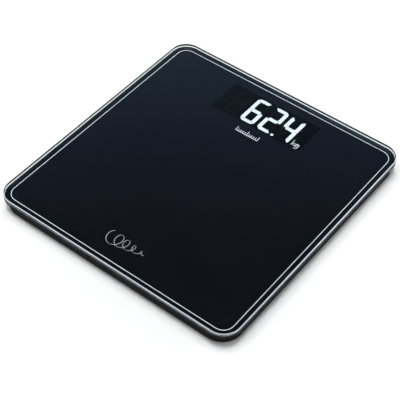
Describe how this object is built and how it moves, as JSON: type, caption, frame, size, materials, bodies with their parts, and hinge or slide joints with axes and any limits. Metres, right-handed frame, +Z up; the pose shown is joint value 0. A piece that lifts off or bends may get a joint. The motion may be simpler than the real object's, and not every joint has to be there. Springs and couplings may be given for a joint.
{
  "type": "digital bathroom scale",
  "caption": "Flat digital bathroom scale: thick dark-backed glass platform with a bright border line, large lit digits, slim black base tray and load-cell feet.",
  "frame": {"origin": "floor level under the middle of the platform", "axes": "+Z up, +Y towards the display end (the longer side of the platform runs along Y), +X along the reading direction of the digits"},
  "size_m": [0.32, 0.333, 0.0225],
  "materials": {
    "clear_glass": "toughened clear float glass with polished arrises",
    "back_print_ink": "black-blue ceramic ink fired on the back of the glass",
    "line_ink": "pale silver ink line",
    "smoked_film": "smoked display film",
    "lit_diffuser": "white light diffuser, lit",
    "unlit_diffuser": "smoked light diffuser, unlit",
    "black_face": "matt black moulded display face",
    "white_plastic": "white moulded plastic",
    "circuit_board": "green solder mask on glass epoxy",
    "led_body": "clear resin over yellow phosphor",
    "tray_plastic": "black moulded ABS with a fine spark texture",
    "foam": "black acrylic foam tape",
    "chip_epoxy": "black potting epoxy",
    "flex_film": "amber polyimide flex",
    "button_plastic": "grey moulded ABS",
    "cell_jacket": "printed shrink jacket",
    "contact_nickel": "nickel-plated spring steel",
    "lead_jacket": "black PVC jacket",
    "screw_steel": "zinc-plated steel",
    "foot_plastic": "black moulded ABS",
    "pad_rubber": "black silicone rubber",
    "holder_plastic": "black glass-filled nylon",
    "load_cell_steel": "stamped spring steel, zinc-plated",
    "gauge_silicone": "white silicone potting"
  },
  "bodies": {
    "platform": {"aaa_cell_1": "cell_jacket", "aaa_cell_2": "cell_jacket", "aaa_cell_3": "cell_jacket", "back_print": "back_print_ink", "base_tray": "tray_plastic", "battery_leads": "lead_jacket", "battery_plates": "contact_nickel", "battery_springs": "contact_nickel", "board_screws": "screw_steel", "border_line": "line_ink", "controller_chip": "chip_epoxy", "display_board": "circuit_board", "display_face": "black_face", "display_filter": "smoked_film", "display_flex": "flex_film", "display_leds": "led_body", "display_light_box": "white_plastic", "display_screws": "screw_steel", "foam_pads": "foam", "glass_platform": "clear_glass", "holder_screws": "screw_steel", "lead_sockets": "white_plastic", "lit_segments": "lit_diffuser", "load_cell_back_left": "load_cell_steel", "load_cell_back_right": "load_cell_steel", "load_cell_front_left": "load_cell_steel", "load_cell_front_right": "load_cell_steel", "load_cell_holder_back_left": "holder_plastic", "load_cell_holder_back_right": "holder_plastic", "load_cell_holder_front_left": "holder_plastic", "load_cell_holder_front_right": "holder_plastic", "load_cell_lead_back_left": "lead_jacket", "load_cell_lead_back_right": "lead_jacket", "load_cell_lead_front_left": "lead_jacket", "load_cell_lead_front_right": "lead_jacket", "load_cell_screws": "screw_steel", "main_board": "circuit_board", "rim_gasket": "foam", "strain_gauge_back_left": "gauge_silicone", "strain_gauge_back_right": "gauge_silicone", "strain_gauge_front_left": "gauge_silicone", "strain_gauge_front_right": "gauge_silicone", "tact_switch": "chip_epoxy", "unlit_segments": "unlit_diffuser"},
    "foot_front_left": {"foot_cup_front_left": "foot_plastic", "foot_pad_front_left": "pad_rubber"},
    "foot_front_right": {"foot_cup_front_right": "foot_plastic", "foot_pad_front_right": "pad_rubber"},
    "foot_back_left": {"foot_cup_back_left": "foot_plastic", "foot_pad_back_left": "pad_rubber"},
    "foot_back_right": {"foot_cup_back_right": "foot_plastic", "foot_pad_back_right": "pad_rubber"},
    "battery_door": {"battery_door": "tray_plastic"},
    "unit_button": {"unit_button": "button_plastic", "switch_plunger": "chip_epoxy"}
  },
  "joints": [
    {"name": "foot_press_front_left", "type": "slide", "parent": "platform", "child": "foot_front_left", "axis": [0, 0, 1], "range_m": [0, 0.0005], "stiffness_N_per_m": 2000, "springref_m": -0.006},
    {"name": "foot_press_front_right", "type": "slide", "parent": "platform", "child": "foot_front_right", "axis": [0, 0, 1], "range_m": [0, 0.0005], "stiffness_N_per_m": 2000, "springref_m": -0.006},
    {"name": "foot_press_back_left", "type": "slide", "parent": "platform", "child": "foot_back_left", "axis": [0, 0, 1], "range_m": [0, 0.0005], "stiffness_N_per_m": 2000, "springref_m": -0.006},
    {"name": "foot_press_back_right", "type": "slide", "parent": "platform", "child": "foot_back_right", "axis": [0, 0, 1], "range_m": [0, 0.0005], "stiffness_N_per_m": 2000, "springref_m": -0.006},
    {"name": "battery_door_hinge", "type": "hinge", "parent": "platform", "child": "battery_door", "pos_m": [0, 0.0544, 0.0026], "axis": [1, 0, 0], "range_deg": [0, 95]},
    {"name": "unit_button_press", "type": "slide", "parent": "platform", "child": "unit_button", "axis": [0, 0, 1], "range_m": [0, 0.0005], "stiffness_N_per_m": 400, "springref_m": -0.0005}
  ]
}
